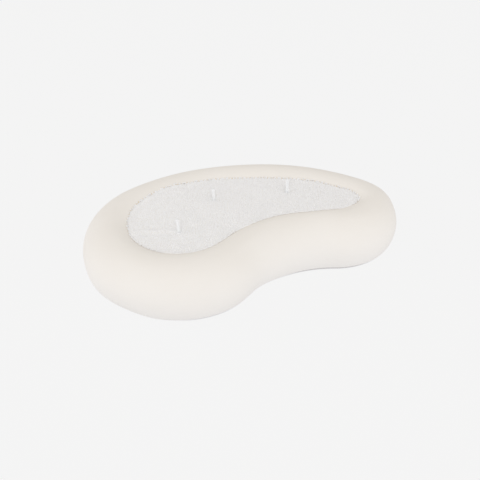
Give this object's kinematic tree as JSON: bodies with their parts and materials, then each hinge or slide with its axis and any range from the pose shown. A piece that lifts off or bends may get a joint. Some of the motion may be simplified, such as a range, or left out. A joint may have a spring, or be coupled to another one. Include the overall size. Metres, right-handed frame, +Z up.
{
  "type": "granulated wax candle bowl",
  "caption": "Kidney-shaped matte bowl with a fat rolled wall, filled with granulated wax in which loose upright wicks stand and can be pulled out.",
  "frame": {"origin": "centre of the bowl's outline, on the plane that the foot ring stands on", "axes": "+Z up, +X along the bowl from the large left end to the small right end, -Y towards the dent at the front"},
  "size_m": [0.31, 0.2006, 0.0618],
  "materials": {
    "matte_ceramic": "matte",
    "granulated_wax": "matte",
    "waxed_cotton": "matte"
  },
  "bodies": {
    "filled_bowl": {"bowl": "matte_ceramic", "wax_bed": "granulated_wax"},
    "left_wick": {"wick_left": "waxed_cotton"},
    "middle_wick": {"wick_middle": "waxed_cotton"},
    "right_wick": {"wick_right": "waxed_cotton"}
  },
  "joints": [
    {"name": "left_wick_pull", "type": "slide", "parent": "filled_bowl", "child": "left_wick", "axis": [-0.0758, 0.0203, 0.9969], "range_m": [0, 0.045]},
    {"name": "middle_wick_pull", "type": "slide", "parent": "filled_bowl", "child": "middle_wick", "axis": [0, 0, 1], "range_m": [0, 0.045]},
    {"name": "right_wick_pull", "type": "slide", "parent": "filled_bowl", "child": "right_wick", "axis": [0, 0, 1], "range_m": [0, 0.045]}
  ]
}
